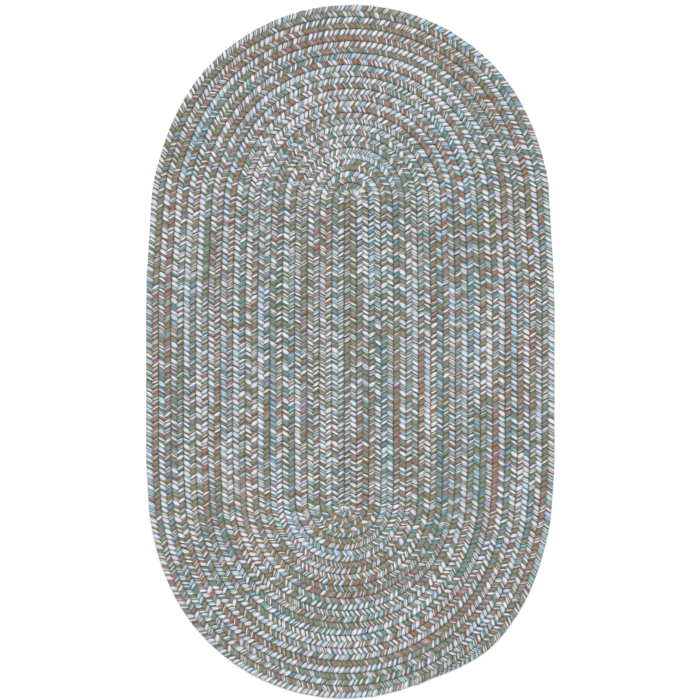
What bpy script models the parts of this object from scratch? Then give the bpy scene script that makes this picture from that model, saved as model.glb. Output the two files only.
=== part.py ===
"""Braided rug: one braid of three strands, coiled flat round a long fold and laced row to row.

Frame, in metres: the origin is under the middle of the rug, +Y runs along its length, +Z is up
and z = 0 is the underside.

The braid starts at the upper end of the fold, runs down the fold's right side, turns tightly
back up its left side, arches over its own start and goes on round, clockwise seen from above.
That makes sixteen rows left of the fold and seventeen right of it. The braid's tapered end lies
against the last row at the lower right.

Neighbouring rows are laced together, so they share the groove between them and the whole coil is
one body: a field of rounded ribs above, and the same rows flattened by the floor below.
"""

import math

import bmesh
import bpy

# The braid and the coil
BRAID_PITCH = 0.0264         # from one groove to the next, where the rows turn
LENGTH = 1.524               # end to end
TURNS = 16                   # rows left of the fold, above it and below it; one more lies right
LAST_ROW = TURNS + 1

# A row's section, from the groove it shares with one neighbour to the next
CROWN = 0.0120               # top of the rib, along its middle
SHOULDER = 0.0106            # height of the shoulders between the crown and the grooves
SHOULDER_IN = 0.25           # how far in from a groove they lie, as a share of the row's width
GROOVE_TOP = 0.0076          # bottom of the groove between two ribs
GROOVE_UNDER = 0.0022        # how far the groove below is lifted off the floor
RIM = 0.0058                 # height of the line where the outermost row is widest
TOP_SECTION = ((0.0, GROOVE_TOP), (SHOULDER_IN, SHOULDER), (0.5, CROWN), (1 - SHOULDER_IN, SHOULDER))
UNDER_SECTION = ((0.0, GROOVE_UNDER), (SHOULDER_IN, 0.0), (1 - SHOULDER_IN, 0.0))

# The rows lie a little looser at mid length, so the long sides bow outward
BOW = 0.03                   # added width there, as a share
BOW_UPPER = (0.397, 0.090)   # none at the first height, all of it at the second
BOW_LOWER = (-0.481, -0.217)

# The upper end leans to the right, and its shoulders are drawn in
LEAN = 0.0026                # how far to the right
LEAN_FROM = (0.30, 0.46)     # none at the first height, all of it at the second
DRAWN = 0.010                # width lost at the shoulders, as a share
DRAWN_FROM = (0.36, 0.46)
DRAWN_TO = (0.66, 0.50)

# The rows round both ends of the fold lie up the rug a little
LOWER_LIFT = 0.0079          # how far, round the lower end
LOWER_FROM = (1.0, 3.2)      # not at all this many rows out, all of it at the second number
LOWER_TO = (16.0, 7.5)
UPPER_LIFT = 0.0057          # how far, round the upper end
UPPER_TO = (12.0, 0.0)
LIFT_EASE = 0.10             # length of the straight runs over which it comes on

# The tapered end: the last row's width, as a share, at each step of the lower turn
TAPER = (1.0, 1.0, 1.0, 1.0, 1.0, 0.92, 0.50, 0.08, 0.0)

TURN_STEPS = 20              # flats in each half turn
STRAIGHT_STEPS = 4           # lengths in each straight run

UPPER_TURN = LENGTH / 2 - (TURNS + 0.5) * BRAID_PITCH   # where the upper half turns start
LOWER_TURN = -LENGTH / 2 + TURNS * BRAID_PITCH          # where the lower half turns start
FOLD = -BRAID_PITCH / 2                                 # the fold, seen along the rug
WELD = 0.00001


def between(value, limits):
    """An even rise from 0 at the first of two limits to 1 at the second, starting and stopping
    gently."""
    t = (value - limits[0]) / (limits[1] - limits[0])
    t = min(max(t, 0.0), 1.0)
    return t * t * (3 - 2 * t)


def lift(x, y):
    """How far up the rug a point lies, for the rows that it is out from the centre of its turn."""
    lower_out = math.hypot(x - FOLD, min(y - LOWER_TURN, 0.0)) / BRAID_PITCH
    lower = LOWER_LIFT * between(lower_out, LOWER_FROM) * between(lower_out, LOWER_TO)
    lower *= between(y, (LOWER_TURN + LIFT_EASE, LOWER_TURN))
    upper_out = math.hypot(x, max(y - UPPER_TURN, 0.0)) / BRAID_PITCH
    upper = UPPER_LIFT * between(upper_out, UPPER_TO)
    upper *= between(y, (UPPER_TURN - LIFT_EASE, UPPER_TURN))
    return lower + upper


def settled(x, y):
    """The place of a point once the long sides bow, the upper end leans and narrows, and the
    rows round both ends are lifted."""
    wider = BOW * between(y, BOW_UPPER) * between(y, BOW_LOWER)
    wider -= DRAWN * between(y, DRAWN_FROM) * between(y, DRAWN_TO)
    return x * (1 + wider) + LEAN * between(y, LEAN_FROM), y + lift(x, y)


def upper_turn(out, step):
    """A point on the half turns round the braid's start, `out` from their shared centre."""
    angle = math.pi * step / TURN_STEPS
    return out * math.cos(angle), UPPER_TURN + out * math.sin(angle)


def lower_turn(out, step):
    """A point on the half turns round the lower end of the fold."""
    angle = math.pi * step / TURN_STEPS
    return FOLD + out * math.cos(angle), LOWER_TURN - out * math.sin(angle)


def run_height(step):
    """How far along the rug a step of the straight runs lies."""
    return LOWER_TURN + (UPPER_TURN - LOWER_TURN) * step / STRAIGHT_STEPS


def right_run(out, step):
    """A point on the straight rows right of the fold."""
    return FOLD + out, run_height(step)


def left_run(out, step):
    """A point on the straight rows left of the fold."""
    return FOLD - out, run_height(step)


def section(profile, rows, fullness):
    """Distance and height of each line of a block of rows, from the inside to the outer edge.

    The outer edge is the rim. Where a further row lies against it, it is a groove instead, and
    `fullness` says how much of a row that neighbour is.
    """
    lines = [(row + share, height) for row in range(rows) for share, height in profile]
    lines.append((rows, RIM + (profile[0][1] - RIM) * fullness))
    return lines


def tail_section(profile, step):
    """The same for the last row alone, shrunk toward the rim as the braid tapers."""
    width = TAPER[step]
    lines = [(TURNS + share * width, RIM + (height - RIM) * math.sqrt(width))
             for share, height in profile]
    lines.append((TURNS + width, RIM))
    return lines


def neighbour(step):
    """How full the row outside the last turn is at a step of the lower turn."""
    return math.sqrt(TAPER[step]) if step < len(TAPER) else 0.0


def lay(bm, columns, place, inner=0.0):
    """Quads between neighbouring columns of section lines, set down by `place`."""
    verts = []
    for step, lines in enumerate(columns):
        column = []
        for out, height in lines:
            x, y = settled(*place((inner + out) * BRAID_PITCH, step))
            column.append(bm.verts.new((x, y, height)))
        verts.append(column)
    for a, b in zip(verts, verts[1:]):
        for i in range(len(a) - 1):
            bm.faces.new((a[i], a[i + 1], b[i + 1], b[i]))


def runs(bm, profile):
    """The straight rows on both sides of the fold."""
    lay(bm, [section(profile, TURNS, 0.0)] * (STRAIGHT_STEPS + 1), left_run)
    lay(bm, [section(profile, LAST_ROW, 0.0)] * (STRAIGHT_STEPS + 1), right_run)


def turns(bm, profile):
    """The rows round both ends."""
    steps = range(TURN_STEPS + 1)
    lay(bm, [section(profile, TURNS, 0.0)] * len(steps), upper_turn, inner=0.5)
    lay(bm, [section(profile, TURNS, neighbour(step)) for step in steps], lower_turn)


def tail(bm, profile):
    """The braid's tapered end, against the outside of the last turn."""
    lay(bm, [tail_section(profile, step) for step in range(len(TAPER))], lower_turn)


def start(bm):
    """The braid's rounded start, closed where it lies inside the first upper turn."""
    steps = range(TURN_STEPS + 1)
    shoulder_out = 0.5 - SHOULDER_IN
    dome = [(0.0, CROWN), (shoulder_out, SHOULDER), (0.5, GROOVE_TOP)]
    lay(bm, [dome] * len(steps), upper_turn)
    lay(bm, [[(shoulder_out, 0.0), (0.5, GROOVE_UNDER)]] * len(steps), upper_turn)
    land = [settled(*upper_turn(shoulder_out * BRAID_PITCH, step)) for step in steps]
    bm.faces.new([bm.verts.new((x, y, 0.0)) for x, y in land])


def coil_mesh():
    """The whole coil, welded along every shared line into one closed body."""
    bm = bmesh.new()
    for profile in (TOP_SECTION, UNDER_SECTION):
        runs(bm, profile)
        turns(bm, profile)
        tail(bm, profile)
    start(bm)
    bmesh.ops.remove_doubles(bm, verts=bm.verts, dist=WELD)
    bmesh.ops.dissolve_degenerate(bm, edges=bm.edges, dist=WELD)
    bmesh.ops.triangulate(bm, faces=bm.faces, quad_method="SHORT_EDGE")
    bmesh.ops.recalc_face_normals(bm, faces=bm.faces)
    mesh = bpy.data.meshes.new("braid_coil")
    bm.to_mesh(mesh)
    bm.free()
    return mesh


def yarn_material():
    """Matt yarn in the grey-green that the mixed colours give from afar."""
    material = bpy.data.materials.new("braid_yarn")
    material.use_nodes = True
    shader = material.node_tree.nodes["Principled BSDF"]
    shader.inputs["Base Color"].default_value = (0.32, 0.33, 0.32, 1.0)
    shader.inputs["Roughness"].default_value = 0.95
    return material


def main():
    for thing in list(bpy.data.objects):
        bpy.data.objects.remove(thing, do_unlink=True)
    rug = bpy.data.collections.new("braided_rug")
    bpy.context.scene.collection.children.link(rug)
    coil = bpy.data.objects.new("braid_coil", coil_mesh())
    coil.data.materials.append(yarn_material())
    rug.objects.link(coil)


main()
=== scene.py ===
# %% [markdown]
# # A braided rug
#
# The real rug is one braid, about forty-four metres of it, coiled flat round a long fold and laced
# row to row. The braid has three plump strands of mottled yarn, which cross over and under each
# other and show as two columns of short slanting legs in every row.
#
# A flat sheet with a picture of a braid on it would look right only from straight above. Here the
# three strands are carried along the whole coil as real tubes, so that the rows are ribs, the
# edge is scalloped, and the legs stand up between real slits.

import bpy
import numpy as np
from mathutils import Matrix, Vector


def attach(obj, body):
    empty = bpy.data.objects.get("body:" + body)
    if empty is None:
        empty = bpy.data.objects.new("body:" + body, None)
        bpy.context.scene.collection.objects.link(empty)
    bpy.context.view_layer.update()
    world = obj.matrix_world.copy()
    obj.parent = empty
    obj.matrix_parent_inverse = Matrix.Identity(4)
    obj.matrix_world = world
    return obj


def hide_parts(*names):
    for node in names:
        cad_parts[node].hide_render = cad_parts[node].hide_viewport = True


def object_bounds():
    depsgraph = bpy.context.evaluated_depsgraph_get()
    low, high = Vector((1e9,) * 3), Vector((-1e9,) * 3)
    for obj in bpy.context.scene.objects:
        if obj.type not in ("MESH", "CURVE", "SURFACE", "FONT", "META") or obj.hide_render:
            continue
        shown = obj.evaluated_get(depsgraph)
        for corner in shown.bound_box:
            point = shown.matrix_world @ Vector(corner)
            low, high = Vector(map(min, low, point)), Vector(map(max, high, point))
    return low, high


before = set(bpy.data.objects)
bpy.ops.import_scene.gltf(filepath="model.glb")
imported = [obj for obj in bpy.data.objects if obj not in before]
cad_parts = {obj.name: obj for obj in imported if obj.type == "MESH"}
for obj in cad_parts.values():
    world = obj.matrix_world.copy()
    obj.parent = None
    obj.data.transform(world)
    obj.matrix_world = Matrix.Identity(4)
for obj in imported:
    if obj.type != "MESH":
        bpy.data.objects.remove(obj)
cad_low, cad_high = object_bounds()
WIDTH, LENGTH, THICK = (cad_high[i] - cad_low[i] for i in range(3))
print(f"coil {WIDTH * 1000:.0f} x {LENGTH * 1000:.0f} x {THICK * 1000:.1f} mm")

# %% [markdown]
# ## The route of the braid
#
# The braid starts at the upper end of the fold, runs down its right side, turns back up the left
# side, arches over its own start, and goes on round, clockwise. Its route is a chain of straight
# runs and half turns. The lower half turns share one centre, on the fold, and the upper ones
# share another, half a row further right, which is how the coil gains one row a turn.
#
# A drawn curve would need hundreds of points. A table with one line for each run or turn needs
# only its centre, its starting angle, its radius and its length, and gives any point exactly.

# %% Sizes of the coil
PITCH = 0.0264                             # width of a row where it turns
TURNS = 16                                 # rows left of the fold; one more lies right of it
UPPER = LENGTH / 2 - (TURNS + 0.5) * PITCH  # where the upper half turns start
LOWER = -LENGTH / 2 + TURNS * PITCH        # where the lower half turns start
FOLD = -PITCH / 2                          # the fold lies half a row left of the middle
TAIL_TURN = np.radians(68)                 # how far the last row goes round the lower end
TAIL_FULL = np.radians(40)                 # up to here it has its full width
EDGE = PITCH / 2                           # from a row's middle to its outer edge


def coil_table():
    """One line for each straight run or half turn: centre x and y, starting angle, radius,
    length, and 1 for a turn. A bent braid is squeezed on the inside, and its outer edge keeps
    its length, so a turn's length is its angle times the radius of that edge."""
    run = UPPER - LOWER
    lines = []
    for turn in range(1, TURNS + 1):
        below = (turn - 0.5) * PITCH
        above = turn * PITCH
        lines.append((FOLD, UPPER, 0.0, below, run, 0))
        lines.append((FOLD, LOWER, 0.0, below, np.pi * (below + EDGE), 1))
        lines.append((FOLD, LOWER, np.pi, below, run, 0))
        lines.append((0.0, UPPER, np.pi, above, np.pi * (above + EDGE), 1))
    last = (TURNS + 0.5) * PITCH
    lines.append((FOLD, UPPER, 0.0, last, run, 0))
    lines.append((FOLD, LOWER, 0.0, last, TAIL_TURN * (last + EDGE), 1))
    return np.array(lines)


COIL = coil_table()
STARTS = np.concatenate([[0.0], np.cumsum(COIL[:, 4])])
BRAID_LENGTH = STARTS[-1]

# %% [markdown]
# ## A point on the coil
#
# Every shape below asks the same question: where is the point that lies this far along the braid
# and this far to its outer side? In a turn the answer is an angle about the turn's centre. In a
# straight run it is a step sideways and a step along. No rug is sewn quite evenly: here the rows
# lie a little looser at mid length, so the long sides bow outward by a few millimetres. The upper
# end leans to the right by less, and its shoulders are drawn in, and the rows round both ends of
# the fold lie a few millimetres up the rug.

# %% Points along the coil
BOW = 0.03                                 # added width at mid length, as a share
BOW_UPPER = (0.397, 0.090)                 # none at the first height, all of it at the second
BOW_LOWER = (-0.481, -0.217)
LEAN = 0.0026                              # how far to the right the upper end leans
LEAN_FROM = (0.30, 0.46)
DRAWN = 0.010                              # width lost at the upper shoulders, as a share
DRAWN_FROM = (0.36, 0.46)
DRAWN_TO = (0.66, 0.50)
LOWER_LIFT = 0.0079                        # how far up the rows round the lower end lie
LOWER_FROM = (1.0, 3.2)                    # none this many rows out, all of it at the second
LOWER_TO = (16.0, 7.5)
UPPER_LIFT = 0.0057                        # the same round the upper end
UPPER_TO = (12.0, 0.0)
LIFT_EASE = 0.10                           # length of the runs over which it comes on


def smooth(t):
    """An even rise from 0 to 1: three t squared less two t cubed, held at 0 and 1 outside."""
    t = np.clip(t, 0.0, 1.0)
    return t * t * (3 - 2 * t)


def between(value, limits):
    """0 at the first of two limits and beyond it, 1 at the second, and eased from one to the
    other."""
    return smooth((value - limits[0]) / (limits[1] - limits[0]))


def lift(x, y):
    """How far up the rug a point lies, for the rows that it is out from its turn's centre."""
    lower_out = np.hypot(x - FOLD, np.minimum(y - LOWER, 0.0)) / PITCH
    lower = LOWER_LIFT * between(lower_out, LOWER_FROM) * between(lower_out, LOWER_TO)
    upper_out = np.hypot(x, np.maximum(y - UPPER, 0.0)) / PITCH
    upper = UPPER_LIFT * between(upper_out, UPPER_TO)
    return (lower * between(y, (LOWER + LIFT_EASE, LOWER))
            + upper * between(y, (UPPER - LIFT_EASE, UPPER)))


def coil_point(along, out):
    """x and y of the points `along` the braid and `out` to its outer side. The point is the
    turn's centre plus (radius + out) at the turn's angle; in a run the angle stays and the
    distance along is added at right angles to it. Last, x is stretched by the bow, shrunk at the
    shoulders and moved by the lean, and y is raised by the lift."""
    line = np.clip(np.searchsorted(STARTS, along, side="right") - 1, 0, len(COIL) - 1)
    centre_x, centre_y, angle, radius, _, turning = COIL[line].T
    past = along - STARTS[line]
    angle = angle - turning * past / (radius + EDGE)
    past = (1 - turning) * past
    x = centre_x + (radius + out) * np.cos(angle) + past * np.sin(angle)
    y = centre_y + (radius + out) * np.sin(angle) - past * np.cos(angle)
    wider = BOW * between(y, BOW_UPPER) * between(y, BOW_LOWER)
    wider = wider - DRAWN * between(y, DRAWN_FROM) * between(y, DRAWN_TO)
    return x * (1 + wider) + LEAN * between(y, LEAN_FROM), y + lift(x, y)


edge_x, _ = coil_point(np.linspace(STARTS[-3], BRAID_LENGTH, 400), EDGE)
print(f"outer edge reaches x {edge_x.max():.4f}, frame {cad_high[0]:.4f}")

# %% [markdown]
# ## How three strands cross
#
# Seen along the braid, each strand draws a figure of eight: it goes out over its neighbour, turns
# down round the outer side, comes back underneath, surfaces at the middle, goes over to the inner
# side, and turns under again. The three strands do the same a third of a period apart, so that
# the legs follow each other in each column.
#
# A plain sine would bend the legs. In a real braid they are straight, because the strands are
# pulled tight, and at the side the strand folds under like a ribbon. So the sideways swing is a
# straight leg and then a half circle seen along the row, and the height follows the same half
# circle, with a quick climb where the strand surfaces at the row's middle.

# %% The swing of a strand
PERIOD = 0.0362                            # length of braid in which a strand goes over and back
SWING = 0.0106                             # how far it swings from the row's middle
RISE = 0.0029                              # how far it rises and falls
LEG = 0.55                                 # share of the way to the side that is straight
BEND = 0.36                                # share of the swing in which it folds under
BEND_POWER = 1.4                           # how late it folds; more is later
LEAD = np.radians(15)                      # how early it surfaces
CLIMB = 2.5                                # how quickly it surfaces; more is quicker
STRANDS = 3


def zigzag(angle):
    """An even rise and fall between -1 and 1, through 0 where the angle is 0."""
    return np.arcsin(np.sin(angle)) / (np.pi / 2)


def folded(angle):
    """How far a strand has folded under, in radians: nothing over the straight leg, then the way
    that is left to the power BEND_POWER, up to a quarter turn at the side."""
    return np.clip((np.abs(zigzag(angle)) - LEG) / (1 - LEG), 0, 1) ** BEND_POWER * np.pi / 2


def swing(angle):
    """Sideways place, -1 to 1: the straight leg, then the sine of the fold."""
    leg = np.clip(zigzag(angle) / LEG, -1, 1)
    return leg * (1 - BEND) + np.sign(leg) * BEND * np.sin(folded(angle))


def rise(angle):
    """Height, -1 to 1: the cosine of the fold, up on the way out and down on the way back. It
    changes over by the hyperbolic tangent of CLIMB times the sine of twice the angle, which runs
    LEAD ahead at the row's middle."""
    ahead = LEAD * np.cos(angle) ** 2
    return np.tanh(CLIMB * np.sin(2 * angle + ahead)) / np.tanh(CLIMB) * np.cos(folded(angle))


slant = np.degrees(np.arctan2(PERIOD * LEG / 4, SWING * (1 - BEND)))
print(f"{BRAID_LENGTH / PERIOD:.0f} periods; legs slant by {slant:.0f} degrees")

# %% [markdown]
# ## Unevenness
#
# A braid is made under changing tension, so no two legs are the same. Values drawn at random
# every half period or more, and joined smoothly, let the swing, the rise, the plumpness and the
# row itself wander. The draws are seeded, so the rug is the same each time.

# %% Slow wandering
DRAWS_BEFORE = 3                           # draws kept for the braid before its start
DRAWS_SPARE = 8                            # draws past those for its length, before and after it


def wander(along, seed, spacing, amount):
    """A smooth random value along the braid: seeded draws `spacing` apart, eased from each to
    the next."""
    count = int(BRAID_LENGTH / spacing) + DRAWS_SPARE
    draws = np.random.default_rng(seed).normal(0.0, amount, count)
    place = along / spacing + DRAWS_BEFORE
    knot = np.floor(place).astype(int)
    return draws[knot] + (draws[knot + 1] - draws[knot]) * smooth(place - knot)


print("wander", wander(np.array([0.0, 1.0, 2.0]), 5, PERIOD, 1.0).round(3))

# %% [markdown]
# ## The ends of the braid
#
# The start is tucked in, so the braid rounds off within half a row beyond the fold's upper end.
# The other end is thinned strand by strand and sewn along the last row, so it tapers away over
# about a sixth of the lower turn.

# %% Width of the braid
TAIL_FROM = BRAID_LENGTH - (TAIL_TURN - TAIL_FULL) * (TURNS + 1) * PITCH
NOSE = 0.5 * PITCH                         # how far the start reaches past the fold
TIP = 0.06                                 # width that is left at the very ends, as a share


def fullness(along):
    """The braid's width as a share: a half circle over the nose, 1 along the coil, and an even
    fall to nothing over the tail."""
    nose = np.sqrt(np.clip(1 - np.clip(-along / NOSE, 0, 1) ** 2, 0, 1))
    tail = 1 - smooth((along - TAIL_FROM) / (BRAID_LENGTH - TAIL_FROM))
    return np.maximum(nose * tail, TIP)


def tail_shift(along, full):
    """How far the row's middle moves inward over the tail, so that it stays against the row
    inside: half of the width that is lost."""
    return np.where(along > TAIL_FROM, (full - 1) * EDGE, 0.0)


print("fullness", fullness(np.array([-NOSE, 0.0, TAIL_FROM, BRAID_LENGTH])).round(2))

# %% [markdown]
# ## One strand as a tube
#
# A strand is a soft, wide and flat bundle. It doesn't bend in its plane at the row's sides but
# folds under, so the face that was up lies down on the way back. The tube's section is an oval
# whose width stays turned along the row, also in the fold, as a ribbon's does.
#
# A bevelled curve would twist the section there, so it is carried along the route in arrays: the
# route's direction gives the way forward, the part of the row's direction that is at right
# angles to it is the section's width, and at right angles to both is its height.

# %% Carry an oval along a route
RING_ANGLES = np.array([0, 18, 36, 54, 70, 83, 100, 138])   # rings in each half period, degrees
SIDES = 8                                  # points round a section
HALF_WIDTH = 0.0056                        # of the section
HALF_HEIGHT = 0.0032
PINCH = 0.30                               # width lost between the other strands, as a share
PINCHED = 0.6                              # up to this share of the swing
REACH_VARIES = 0.04                        # how uneven the swing is, as a share
RISE_VARIES = 0.02                         # the same for the rise
PLUMP_VARIES = 0.06                        # and for the section
PLUMP_MOST = 0.08                          # by how much a section differs at most
ROW_VARIES = 0.00025                       # how far the row itself wanders
LEG_APART = 0.6 * PERIOD                   # between the draws for the swing and the section
RISE_APART = 1.1 * PERIOD                  # between those for the rise
ROW_APART = 4 * PERIOD                     # and those for the row
SEEDS = 10                                 # how far apart the strands' seeds start
ROW_SEED = 7
MIDDLE = THICK / 2


def ring_places(strand):
    """Where a strand's rings lie, counted in its own periods: the ring angles again every half
    period, closer together on top of the rug than under it, and one at each end."""
    half_periods = np.arange(-2, 2 * BRAID_LENGTH / PERIOD + 3)
    places = (half_periods[:, None] + RING_ANGLES / 180).ravel() / 2
    ends = np.array([-NOSE, BRAID_LENGTH]) / PERIOD + strand / STRANDS
    inner = places[(places > ends[0]) & (places < ends[1])]
    return np.concatenate([ends[:1], inner, ends[1:]])


def strand_route(strand, periods):
    """Centre points of a strand, the row's direction there, and the half width and half height
    of its section, at places counted in its own periods. The swing is scaled by the braid's
    fullness, and the rise and the section by its square root."""
    angle = 2 * np.pi * periods
    along = (periods - strand / STRANDS) * PERIOD
    full = fullness(along)
    seed = SEEDS * strand
    reach = SWING * (1 + wander(along, seed + 1, LEG_APART, REACH_VARIES))
    row_shift = wander(along, ROW_SEED, ROW_APART, ROW_VARIES)
    x, y = coil_point(along, swing(angle) * reach * full + row_shift + tail_shift(along, full))
    height = RISE * (1 + wander(along, seed + 2, RISE_APART, RISE_VARIES)) * np.sqrt(full)
    z = MIDDLE + rise(angle) * height
    uneven = wander(along, seed + 3, LEG_APART, PLUMP_VARIES)
    plump = 1 + np.clip(uneven, -PLUMP_MOST, PLUMP_MOST)
    pinch = 1 - PINCH * between(np.abs(swing(angle)), (PINCHED, 0.0))
    row = np.gradient(np.stack([*coil_point(along, 0.0), np.zeros(len(along))], axis=1), axis=0)
    half_width = HALF_WIDTH * plump * pinch * np.sqrt(full)
    half_height = HALF_HEIGHT * plump * np.sqrt(full)
    return np.stack([x, y, z], axis=1), row, half_width, half_height


def unit(vectors):
    """The same directions with length 1."""
    return vectors / np.linalg.norm(vectors, axis=1, keepdims=True)


def tube(centres, row, half_width, half_height):
    """Points of a closed section carried along `centres`, as an array of rings. A point is the
    centre plus half width times cosine across, plus half height times sine upward; across is
    the row's direction less its part that runs forward."""
    forward = unit(np.gradient(centres, axis=0))
    across = unit(row - forward * np.sum(row * forward, axis=1, keepdims=True))
    upward = np.cross(forward, across)
    turn = np.arange(SIDES) * 2 * np.pi / SIDES
    wide = np.cos(turn)[None, :, None] * across[:, None] * half_width[:, None, None]
    high = np.sin(turn)[None, :, None] * upward[:, None] * half_height[:, None, None]
    return centres[:, None] + wide + high


sample = tube(*strand_route(0, ring_places(0)[:200]))
print(f"lowest {sample[..., 2].min() * 1000:.2f}, highest {sample[..., 2].max() * 1000:.2f} mm")

# %% [markdown]
# ## From rings to a mesh
#
# Rings become a mesh by joining each point to its neighbour round the ring and to the same point
# on the next ring, and each end is closed with a fan. Two maps go with it. The map named yarn
# follows the strand: how many periods along, and how far round. The map named OFBake is only for
# storing the finished colours: the long strip is cut into lines that fill a square.

# %% Mesh from rings
MAP_EDGE = 0.01                            # free margin at both ends of a line
FAN_REACH = 0.8                            # how much of it a fan takes, as a share
LINE_GAP = 0.06                            # free margin above and below a line, as a share


def ring_faces(rings, sides):
    """Quads between neighbouring rings, then a fan at each end round an added centre point."""
    ring, side = np.meshgrid(np.arange(rings - 1), np.arange(sides), indexing="ij")
    after = (side + 1) % sides
    quads = [ring * sides + side, ring * sides + after,
             (ring + 1) * sides + after, (ring + 1) * sides + side]
    quads = np.stack(quads, axis=-1).reshape(-1, 4)
    here = np.arange(sides)
    there = (here + 1) % sides
    first = np.full(sides, rings * sides)
    last = (rings - 1) * sides
    caps = np.concatenate([np.stack([there, here, first], axis=1),
                           np.stack([here + last, there + last, first + 1], axis=1)])
    return quads, caps


def strip_map(rings, sides, lines):
    """Corner places for the OFBake map: ring number along a line, side up it, then the next
    line; both fans lie in the free margins."""
    per_line = int(np.ceil((rings - 1) / lines))
    ring, side = np.meshgrid(np.arange(rings - 1), np.arange(sides), indexing="ij")
    line = ring // per_line
    step = [0, 0, 1, 1]
    up = [0, 1, 1, 0]
    span = 1 - 2 * MAP_EDGE
    u = [MAP_EDGE + span * (ring - line * per_line + s) / per_line for s in step]
    v = [(line + LINE_GAP + (1 - 2 * LINE_GAP) * (side + t) / sides) / lines for t in up]
    quads = np.stack([np.stack(u, axis=-1), np.stack(v, axis=-1)], axis=-1).reshape(-1, 2)
    here = np.arange(sides)
    end = u[2][-1, -1]
    caps = []
    for line_no, place, tip in ((0, MAP_EDGE, MAP_EDGE * (1 - FAN_REACH)),
                                ((rings - 2) // per_line, end, end + MAP_EDGE * FAN_REACH)):
        low = (line_no + LINE_GAP + (1 - 2 * LINE_GAP) * here / sides) / lines
        high = (line_no + LINE_GAP + (1 - 2 * LINE_GAP) * (here + 1) / sides) / lines
        fan = [np.stack([np.full(sides, place), high], axis=1),
               np.stack([np.full(sides, place), low], axis=1),
               np.stack([np.full(sides, tip), (low + high) / 2], axis=1)]
        if line_no:
            fan = [fan[1], fan[0], fan[2]]
        caps.append(np.stack(fan, axis=1).reshape(-1, 2))
    return np.concatenate([quads, *caps])


def ring_mesh(name, rings, lines):
    """A closed mesh from an array of rings, shaded smooth, with its OFBake map."""
    count, sides = rings.shape[:2]
    quads, caps = ring_faces(count, sides)
    centres = [rings[0].mean(axis=0), rings[-1].mean(axis=0)]
    points = np.concatenate([rings.reshape(-1, 3), centres])
    mesh = bpy.data.meshes.new(name)
    mesh.from_pydata(points.tolist(), [], quads.tolist() + caps.tolist())
    mesh.polygons.foreach_set("use_smooth", np.ones(len(mesh.polygons), bool))
    store = mesh.uv_layers.new(name="OFBake")
    store.data.foreach_set("uv", strip_map(count, sides, lines).ravel())
    piece = bpy.data.objects.new(name, mesh)
    bpy.context.scene.collection.objects.link(piece)
    return piece


print("a ring of", SIDES, "points has", len(ring_faces(2, SIDES)[0]), "quads to the next")

# %% [markdown]
# ## Shader maths as expressions
#
# The yarn's colours are worked out by the shader, from where a point lies along and round its
# strand. Dozens of small Math nodes are hard to read, so a small class wraps a socket and turns
# plus, minus, times and the rest into those nodes.


# %% A socket that does maths
class Graph:
    """The nodes of one material."""

    def __init__(self, name):
        self.material = bpy.data.materials.new(name)
        self.material.use_nodes = True
        self.nodes = self.material.node_tree.nodes
        self.links = self.material.node_tree.links
        self.shader = self.nodes["Principled BSDF"]

    def node(self, kind, settings=None, **inputs):
        """Adds a node, sets its settings, then fills its sockets with values or links."""
        made = self.nodes.new(kind)
        for name, value in (settings or {}).items():
            setattr(made, name, value)
        for name, value in inputs.items():
            self.fill(made.inputs[name], value)
        return made

    def fill(self, socket, value):
        """Links a wire to a socket, or sets a plain value on it."""
        if isinstance(value, Wire):
            self.links.new(value.socket, socket)
        else:
            socket.default_value = value

    def wire(self, made, output=0):
        """An output of a node as a wire."""
        return Wire(self, made.outputs[output])

    def math(self, operation, *values):
        """A Math node."""
        made = self.node("ShaderNodeMath", {"operation": operation})
        for socket, value in zip(made.inputs, values):
            self.fill(socket, value)
        return self.wire(made)

    def stretch(self, value, limits, results, kind="LINEAR"):
        """A Map Range node: from the first result to the second as the value goes from the first
        limit to the second, and held beyond them."""
        made = self.node("ShaderNodeMapRange", {"interpolation_type": kind}, Value=value)
        for socket, number in zip(made.inputs[1:5], (*limits, *results)):
            socket.default_value = number
        return self.wire(made)

    def place(self, x, y, z=0.0):
        """Three values as one place."""
        return self.wire(self.node("ShaderNodeCombineXYZ", X=x, Y=y, Z=z))

    def noise(self, place, detail, scale=1.0):
        """A Noise node's value at a place."""
        made = self.node("ShaderNodeTexNoise", Vector=place, Scale=scale, Detail=detail)
        return self.wire(made)

    def ramp(self, value, stops, steps=False):
        """A colour ramp: stops are (place, colour), blended or in steps."""
        made = self.node("ShaderNodeValToRGB", Fac=value)
        made.color_ramp.interpolation = "CONSTANT" if steps else "LINEAR"
        bands = made.color_ramp.elements
        while len(bands) < len(stops):
            bands.new(1.0)
        for band, (place, colour) in zip(bands, stops):
            band.position = place
            band.color = (*colour, 1.0)
        return self.wire(made)

    def mix(self, share, first, second, blend="MIX"):
        """A Mix node on colours; its sockets 0, 6 and 7 are the share and the two colours."""
        made = self.node("ShaderNodeMix", {"data_type": "RGBA", "blend_type": blend})
        for number, value in ((0, share), (6, first), (7, second)):
            self.fill(made.inputs[number], value)
        return self.wire(made, 2)


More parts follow.
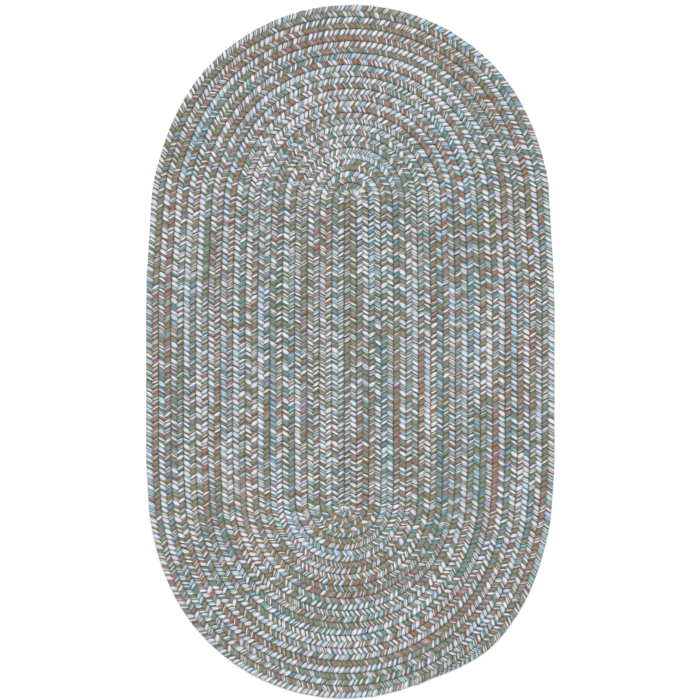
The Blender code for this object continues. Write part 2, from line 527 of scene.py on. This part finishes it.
class Wire:
    """One socket, with the operators that the finishes use."""

    def __init__(self, graph, socket):
        self.graph = graph
        self.socket = socket

    def __add__(self, other):
        return self.graph.math("ADD", self, other)

    def __sub__(self, other):
        return self.graph.math("SUBTRACT", self, other)

    def __rsub__(self, other):
        return self.graph.math("SUBTRACT", other, self)

    def __mul__(self, other):
        return self.graph.math("MULTIPLY", self, other)

    def __truediv__(self, other):
        return self.graph.math("DIVIDE", self, other)

    def __lt__(self, other):
        return self.graph.math("LESS_THAN", self, other)

    def __mod__(self, other):
        return self.graph.math("FLOORED_MODULO", self, other)

    __radd__ = __add__
    __rmul__ = __mul__

    def whole(self):
        """The whole number at or below it."""
        return self.graph.math("FLOOR", self)

    def part(self):
        """What it has above that whole number."""
        return self.graph.math("FRACT", self)


print("shader maths ready")

# %% [markdown]
# ## The colours of the yarns
#
# Each strand is a bundle of thick yarns that lie side by side, and each yarn is two plies. A yarn
# changes colour every few periods, so one colour comes back leg after leg and then gives way to
# the next. Most light yarns lie on one face of the bundle, and the bundle folds over at the
# braid's sides, so the outer column of each row is mostly white and pale blue and the inner
# column is mostly brown and olive.
#
# A colour for every leg would be a table of thousands. Instead the shader finds which yarn of
# which strand a point is on, draws a random number for that yarn and that stretch of it, and
# picks its colour from a light or a dark range. Now and then one ply has a colour of its own.

# %% Draws for a yarn
YARNS = 8                                  # yarns round a strand
PLIES = 2                                  # plies in a yarn
YARN_STRETCH = 6.0                         # periods before a yarn changes colour
PLY_STRETCH = 5.4                          # periods before an odd ply does
FACE_DRAW, YARN_DRAW, PLY_DRAW = 9.0, 3.0, 5.0   # keep the draws of face, yarn and ply apart
STRAND_STEP = 2000                         # added to the yarn map for each strand


def own_draws(g, half_period, number, strand, stretch, kind):
    """Four random numbers for one face, yarn or ply of one strand, which last for one stretch of
    it. The stretch's whole number is worked out from whole half periods, so a colour changes
    only where the strand turns under, and it starts at a random place for each yarn."""
    offset = g.wire(g.node("ShaderNodeTexWhiteNoise", Vector=g.place(number, strand, kind)))
    cell = (half_period / (2 * stretch) + offset).whole()
    draws = g.node("ShaderNodeTexWhiteNoise", Vector=g.place(cell, number, kind))
    split = g.node("ShaderNodeSeparateColor", Color=g.wire(draws, 1))
    return g.wire(draws), g.wire(split, 0), g.wire(split, 1), g.wire(split, 2)


print("a strand has", YARNS * PLIES, "plies round it")

# %% Colours of the yarns
ODD_PLIES = 0.18                           # share of plies that differ from their yarn
LIGHT_SHARE = 0.385                        # share of light yarns where the coil starts
LIGHT_FALL = 0.07                          # how much smaller it is where the coil ends
CONTRAST = (0.10, 0.25)                    # added on one face and taken off on the other
CONTRAST_GROWS = (0.15, 0.65)              # it grows between these shares of the coil
BUNDLE_ODDS = 0.6                          # by how much faces differ at random besides
LIGHT_ODD = 0.42                           # share of light ones among the odd plies
COOLNESS = 0.77                            # power on the dark colours' place; less is cooler
WARMTH = 1.1                               # added to it on the dark face, times the contrast
DRIFT = 0.035                              # how quickly the dark colours drift in a period
DRIFT_SPAN = (0.3, 0.7)                    # the drift's noise is stretched to fill 0 to 1
FACE_APART = 9                             # keeps the two faces' drifts apart
LEANING = (0.35, 0.50, 0.80)               # weights of yarn, bundle and drift on the dark place
LEANING_FROM = 0.70                        # where on the dark range the three start
LIGHT_YARNS = (
    (0.00, (0.73, 0.76, 0.805)),           # white
    (0.50, (0.81, 0.71, 0.625)),           # cream
    (0.59, (0.66, 0.64, 0.77)),            # lavender white
    (0.72, (0.43, 0.62, 0.76)),            # pale blue
    (0.885, (0.27, 0.49, 0.56)),           # aqua
)
DARK_YARNS = (
    (0.00, (0.37, 0.17, 0.118)),           # rust
    (0.08, (0.33, 0.204, 0.147)),          # brown
    (0.34, (0.30, 0.227, 0.178)),          # taupe
    (0.50, (0.26, 0.245, 0.15)),           # olive
    (0.66, (0.20, 0.262, 0.19)),           # sage
    (0.79, (0.145, 0.29, 0.30)),           # teal
    (0.91, (0.19, 0.30, 0.40)),            # slate blue
)


def yarn_colour(g, along, round_it):
    """The colour at a point, whether it is a light one, and its ply's own tone. Yarn, ply and
    face are whole numbers of the way round the strand. A draw below the share makes a yarn or an
    odd ply light, and another draw is its place on the light or the dark range."""
    yarn = (round_it * YARNS).whole() % YARNS
    ply = (round_it * YARNS * PLIES).whole() % (YARNS * PLIES)
    face = (round_it * 2).whole() % 2
    half_period = (along * 2 + 0.5).whole()
    strand = (along / STRAND_STEP).whole()
    in_coil = along % STRAND_STEP
    _, face_light, face_hue, _ = own_draws(g, half_period, face, strand, YARN_STRETCH, FACE_DRAW)
    _, yarn_light, yarn_hue, _ = own_draws(g, half_period, yarn, strand, YARN_STRETCH, YARN_DRAW)
    own, ply_light, ply_hue, tone = own_draws(g, half_period, ply, strand, PLY_STRETCH, PLY_DRAW)
    odd = own < ODD_PLIES

    grown = in_coil / (BRAID_LENGTH / PERIOD)
    contrast = g.stretch(grown, CONTRAST_GROWS, CONTRAST, "SMOOTHSTEP")
    favour = contrast * (face * 2 - 1)
    share = favour + LIGHT_SHARE - grown * LIGHT_FALL
    light_yarn = yarn_light < share + (face_light - 0.5) * BUNDLE_ODDS
    light_ply = ply_light < favour + LIGHT_ODD
    is_light = light_yarn + (light_ply - light_yarn) * odd

    hue = yarn_hue + (ply_hue - yarn_hue) * odd
    drift = g.noise(g.place(in_coil * DRIFT, face * FACE_APART), 1.0)
    drift = g.stretch(drift, DRIFT_SPAN, (0.0, 1.0))
    leaning = hue * LEANING[0] + face_hue * LEANING[1] + drift * LEANING[2] + LEANING_FROM
    warmer = contrast * (1 - face) * WARMTH
    leaning = g.math("POWER", leaning.part(), warmer + COOLNESS)
    dark = g.ramp(leaning, DARK_YARNS, steps=True)
    light = g.ramp(hue, LIGHT_YARNS, steps=True)
    return g.mix(is_light, dark, light), is_light, tone


print(len(LIGHT_YARNS), "light and", len(DARK_YARNS), "dark colours")

# %% [markdown]
# ## The finish of the yarns
#
# Yarn is matt and soft, and its plies twist round each other. Painted shade makes a yarn darker at
# its slits and a ply a little darker at its sides, and dye and fibre make both uneven. Little
# light reaches the sides of a strand and the row's middle, where it passes between the others, so
# a value named lit, which each strand's mesh carries, darkens them as painted shade. Yarns, plies,
# twist and fibre are also a bump, because geometry this fine would need millions of faces.

# %% Shade and relief of the yarns
SLIT_WIDTH = 0.4                           # the slit ends where a yarn's crown has this height
# Painted shade: the share of the colour that is left at the bottom of a slit between yarns
SLIT_SHADE = 0.48
# Painted shade at a ply's sides: the least, and what is added towards its crown
PLY_SIDE_SHADE = (0.88, 0.12)                   # a ply's crown; the least, and what is added to it
OWN_TONES = (0.89, 0.18)                   # the same for each ply's own tone
FIBRE_TONES = (0.82, 0.36)                 # for fibre
LIT_TONES = (0.38, 0.65)                   # and for the light that reaches it
MOTTLE = 0.56                              # how uneven the dye is in a dark yarn
MOTTLE_LESS = 0.36                         # how much less it is in a light one
FIBRE_GRAIN = (30, 70)                     # fibres in a period and round the strand
MOTTLE_GRAIN = (9, 16)
TWISTS = 26                                # turns of the plies in a period
TWIST_SLANT = 0.8                          # how much of a turn lies across a yarn
RELIEF = (0.8, 0.25, 0.15, 0.3)            # weights of yarn, ply, twist and fibre
RELIEF_DEPTH = 0.0010
SOFT_MATT = {"Roughness": 0.9, "Sheen Weight": 0.15, "Sheen Roughness": 0.5,
             "Specular IOR Level": 0.2}


def toned(value, tones):
    """The first of two tones, plus the second times the value."""
    return tones[0] + value * tones[1]


def crown(across):
    """Height of a rounded ridge: four times the way across times the way that is left."""
    return across * (1 - across) * 4


def grain(g, along, round_it, fineness, detail):
    """Noise that is stretched along the strand as fibres are."""
    return g.noise(g.place(along * fineness[0], round_it * fineness[1]), detail)


def yarn_finish():
    """The yarns' colour times their dye tones and their painted shade, and their relief, from the
    map that follows the strand."""
    g = Graph("mottled_yarn")
    yarn_place = g.wire(g.node("ShaderNodeUVMap", {"uv_map": "yarn"}))
    split = g.node("ShaderNodeSeparateXYZ", Vector=yarn_place)
    along, round_it = g.wire(split, 0), g.wire(split, 1)
    colour, is_light, tone = yarn_colour(g, along, round_it)

    across_yarn = (round_it * YARNS).part()
    yarn_crown = crown(across_yarn)
    ply_crown = crown((round_it * YARNS * PLIES).part())
    fibre = grain(g, along, round_it, FIBRE_GRAIN, 3.0)
    mottle = grain(g, along, round_it, MOTTLE_GRAIN, 2.0)
    lit = g.wire(g.node("ShaderNodeAttribute", {"attribute_name": "lit"}), 2)
    # Painted shade in the slits between yarns, at a ply's sides and where lit is low; the ply's
    # own tone, fibre and mottle are the yarn's own colour
    shade = g.stretch(yarn_crown, (0.0, SLIT_WIDTH), (SLIT_SHADE, 1.0))
    shade = shade * toned(ply_crown, PLY_SIDE_SHADE) * toned(tone, OWN_TONES)
    shade = shade * toned(fibre, FIBRE_TONES) * toned(lit, LIT_TONES)
    shade = shade * (1 + (mottle - 0.5) * (MOTTLE - is_light * MOTTLE_LESS))
    grey = g.wire(g.node("ShaderNodeCombineColor", Red=shade, Green=shade, Blue=shade))
    g.fill(g.shader.inputs["Base Color"], g.mix(1.0, colour, grey, blend="MULTIPLY"))

    twist = ((along * TWISTS + across_yarn * TWIST_SLANT).part() - 0.5) * 2
    relief = yarn_crown * RELIEF[0] + ply_crown * RELIEF[1]
    relief = relief + (1 - twist * twist) * RELIEF[2] + fibre * RELIEF[3]
    bump = g.node("ShaderNodeBump", Strength=0.8, Distance=RELIEF_DEPTH, Height=relief)
    g.fill(g.shader.inputs["Normal"], g.wire(bump))
    for socket, value in SOFT_MATT.items():
        g.fill(g.shader.inputs[socket], value)
    return g.material


YARN = yarn_finish()
print("yarn finish has", len(YARN.node_tree.nodes), "nodes")

# %% [markdown]
# ## The three strands
#
# Each strand is made in two lengths, an inner and an outer half of the coil, so that no mesh
# grows too heavy. The yarn map counts periods along a strand, and its other direction goes once
# round it. It needs no turning over at the braid's sides, because the section itself folds there:
# the outward legs show one face of the bundle and the inward legs the other.

# %% Make the strands
HALVES = ("inner", "outer")
BAKE_LINES = 32                            # lines of the strip in the OFBake map
SLOW_ROLL = 0.09                           # turns by which a bundle rolls over several periods
LEG_ROLL = 0.05                            # and from one leg to the next
VALLEY = 0.3                               # half width of the shaded middle, in swings
MAP_START = 10                             # keeps the yarn map above zero before the start
END_ROUND = 0.25                           # where round the bundle an end takes its colour
END_LIT = 0.5                              # how lit an end's centre is


def roll_of(strand, periods):
    """How far the bundle has rolled, in turns: a slow wander plus a quick one."""
    along = periods * PERIOD
    seed = SEEDS * strand
    slow = wander(along, seed + 4, 5 * PERIOD, SLOW_ROLL)
    return slow + wander(along, seed + 5, PERIOD / 2, LEG_ROLL)


def yarn_map(strand, periods):
    """Corner places of the yarn map: periods along, and sides round plus the roll."""
    rolled = roll_of(strand, periods) + MAP_START
    ring, side = np.meshgrid(np.arange(len(periods) - 1), np.arange(SIDES), indexing="ij")
    corners = ((0, 0), (0, 1), (1, 1), (1, 0))
    u = [periods[ring + s] + STRAND_STEP * strand + MAP_START for s, _ in corners]
    v = [(side + t) / SIDES + rolled[ring + s] for s, t in corners]
    quads = np.stack([np.stack(u, axis=-1), np.stack(v, axis=-1)], axis=-1).reshape(-1, 2)
    ends = [[u[0][0, 0], END_ROUND], [u[2][-1, 0], END_ROUND]]
    return np.concatenate([quads, np.repeat(ends, 3 * SIDES, axis=0)])


def lit_of(periods):
    """How much light reaches each point: 1 on the top and bottom of a section and 0 at its two
    sides, and none where the strand passes between the others at the row's middle."""
    turn = np.arange(SIDES) * 2 * np.pi / SIDES
    open_to = between(np.abs(swing(2 * np.pi * periods)), (0.0, VALLEY))
    lit = np.abs(np.sin(turn))[None] * open_to[:, None]
    return np.concatenate([lit.ravel(), [END_LIT, END_LIT]])


def make_strand(strand, half):
    """One half of a strand, as a finished piece. Both halves have the ring where they meet."""
    periods = ring_places(strand)
    cut = len(periods) // 2
    periods = periods[cut:] if half else periods[:cut + 1]
    rings = tube(*strand_route(strand, periods))
    piece = ring_mesh(f"strand_{strand + 1}_{HALVES[half]}", rings, BAKE_LINES)
    piece.data.uv_layers.new(name="yarn").data.foreach_set("uv", yarn_map(strand, periods).ravel())
    lit = piece.data.attributes.new("lit", "FLOAT", "POINT")
    lit.data.foreach_set("value", lit_of(periods))
    piece.data.materials.append(YARN)
    print(piece.name, len(rings), "rings,", 2 * SIDES * len(rings), "triangles")
    return piece


strands = [make_strand(strand, half) for strand in range(STRANDS) for half in range(2)]

# %% [markdown]
# ## The bed under the crossings
#
# Deep between the legs, where the strands press on each other and the lacing pulls the rows
# together, no light gets through the rug. A thin ribbed sheet carried along the same route fills
# that depth, and its grey is painted shade. It is the rug's cloth as a sheet: the strands lie on
# both its faces.

# %% Make the bed
# Lines of its section: how far out, as a share of the row, and half its height there
BED_LINES = ((-0.497, 0.0007), (-0.2, 0.0017), (0.2, 0.0017), (0.497, 0.0007))
BED_STEPS = 6                              # steps in a run, and the fewest in a turn
BED_STEP = 0.04                            # a turn has one more for each such length
BED_BAKE_LINES = 20                        # lines of its strip in the OFBake map


def bed_stations():
    """Distances along the braid: a few even steps in a run, and more in a wider turn."""
    stations = []
    for start, (_, _, _, _, length, turning) in zip(STARTS, COIL):
        steps = BED_STEPS + int(turning * length / BED_STEP)
        stations.append(start + length * np.arange(steps) / steps)
    return np.concatenate([*stations, [BRAID_LENGTH]])


def make_bed():
    """The sheet's section, bottom from the inner to the outer side and top back, carried along
    the route; its width is the braid's fullness times the row's width."""
    along = bed_stations()
    full = fullness(along)
    rings = []
    for side, lines in ((-1, BED_LINES), (1, BED_LINES[::-1])):
        for out, half in lines:
            x, y = coil_point(along, out * PITCH * full + tail_shift(along, full))
            rings.append(np.stack([x, y, MIDDLE + side * half * full], axis=1))
    return ring_mesh("braid_bed", np.stack(rings, axis=1), BED_BAKE_LINES)


bed = make_bed()
print("bed", len(bed.data.polygons), "faces")

# %% Finish of the bed
BED_SPECKS = 180.0                         # specks in a metre
# Painted shade: these greys stand for the shade deep between the strands
BED_COLOURS = ((0.3, (0.10, 0.10, 0.09)), (0.7, (0.20, 0.20, 0.18)))   # from dark to pale grey
OBJECT_PLACE = 3                           # the output of Texture Coordinate that gives metres


def bed_finish():
    """Matt grey for painted shade, speckled by noise."""
    g = Graph("painted_shade_bed")
    place = g.wire(g.node("ShaderNodeTexCoord"), OBJECT_PLACE)
    g.fill(g.shader.inputs["Base Color"], g.ramp(g.noise(place, 3.0, BED_SPECKS), BED_COLOURS))
    g.fill(g.shader.inputs["Roughness"], 0.95)
    return g.material


bed.data.materials.append(bed_finish())
print("bed finish is", bed.data.materials[0].name)

# %% [markdown]
# ## What each piece stands for
#
# The strands and the bed together stand for the coil and ride on the rug's one body.

# %% Tie the pieces to the frame
for piece in (*strands, bed):
    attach(piece, "root")
    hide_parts("braid_coil")

# %% [markdown]
# ## Floor, light and camera
#
# The rug is seen from straight above on a pale ground, in soft even light that leaves only the
# slits dark. A white sky alone would leave the ribs flat, so a wide soft lamp stands a little to
# one end. A long lens from high up shows the whole rug without leaning its edges outward.

# %% Floor
FLOOR_HALF = 8.0                           # half its width
FLOOR_TOP = -0.0005                        # just under the rug's lowest yarns
FLOOR_GREY = (0.86, 0.86, 0.86, 1.0)
floor_mesh = bpy.data.meshes.new("floor")
corners = [(x * FLOOR_HALF, y * FLOOR_HALF, FLOOR_TOP)
           for x, y in ((-1, -1), (1, -1), (1, 1), (-1, 1))]
floor_mesh.from_pydata(corners, [], [(0, 1, 2, 3)])
floor = bpy.data.objects.new("floor", floor_mesh)
bpy.context.scene.collection.objects.link(floor)
floor_graph = Graph("pale_floor")
floor_graph.fill(floor_graph.shader.inputs["Base Color"], FLOOR_GREY)
floor_graph.fill(floor_graph.shader.inputs["Roughness"], 0.9)
floor_mesh.materials.append(floor_graph.material)
print("floor", 2 * FLOOR_HALF, "m wide")

# %% Light
SKY = 0.78                                 # strength of the white sky
LAMP = 1.93                                # strength of the lamp
LAMP_WIDTH = np.radians(40)                # how wide it is, seen from the rug
LAMP_TILT = (np.radians(-20), np.radians(-3), 0)
world = bpy.data.worlds.new("studio")
world.use_nodes = True
sky = world.node_tree.nodes["Background"]
sky.inputs["Color"].default_value = (1.0, 1.0, 1.0, 1.0)
sky.inputs["Strength"].default_value = SKY
bpy.context.scene.world = world
lamp_data = bpy.data.lights.new("key", "SUN")
lamp_data.energy = LAMP
lamp_data.angle = LAMP_WIDTH
lamp = bpy.data.objects.new("key", lamp_data)
lamp.rotation_euler = LAMP_TILT
bpy.context.scene.collection.objects.link(lamp)
bpy.context.scene.view_settings.view_transform = "Standard"
print("light ready")

# %% Camera
HEIGHT = 7.0                               # how high the camera is
OVER = (-0.0007, 0.0033)                   # the point of the rug that it stands over
FRAME_WIDTH = 1.541                        # what the picture spans at the rug
SENSOR = 36.0                              # width of its sensor, in millimetres
camera_data = bpy.data.cameras.new("camera")
camera_data.sensor_width = SENSOR
camera_data.lens = SENSOR * HEIGHT / FRAME_WIDTH
camera = bpy.data.objects.new("camera", camera_data)
camera.location = (*OVER, HEIGHT)
bpy.context.scene.collection.objects.link(camera)
bpy.context.scene.camera = camera
print(f"camera lens {camera_data.lens:.0f} mm")
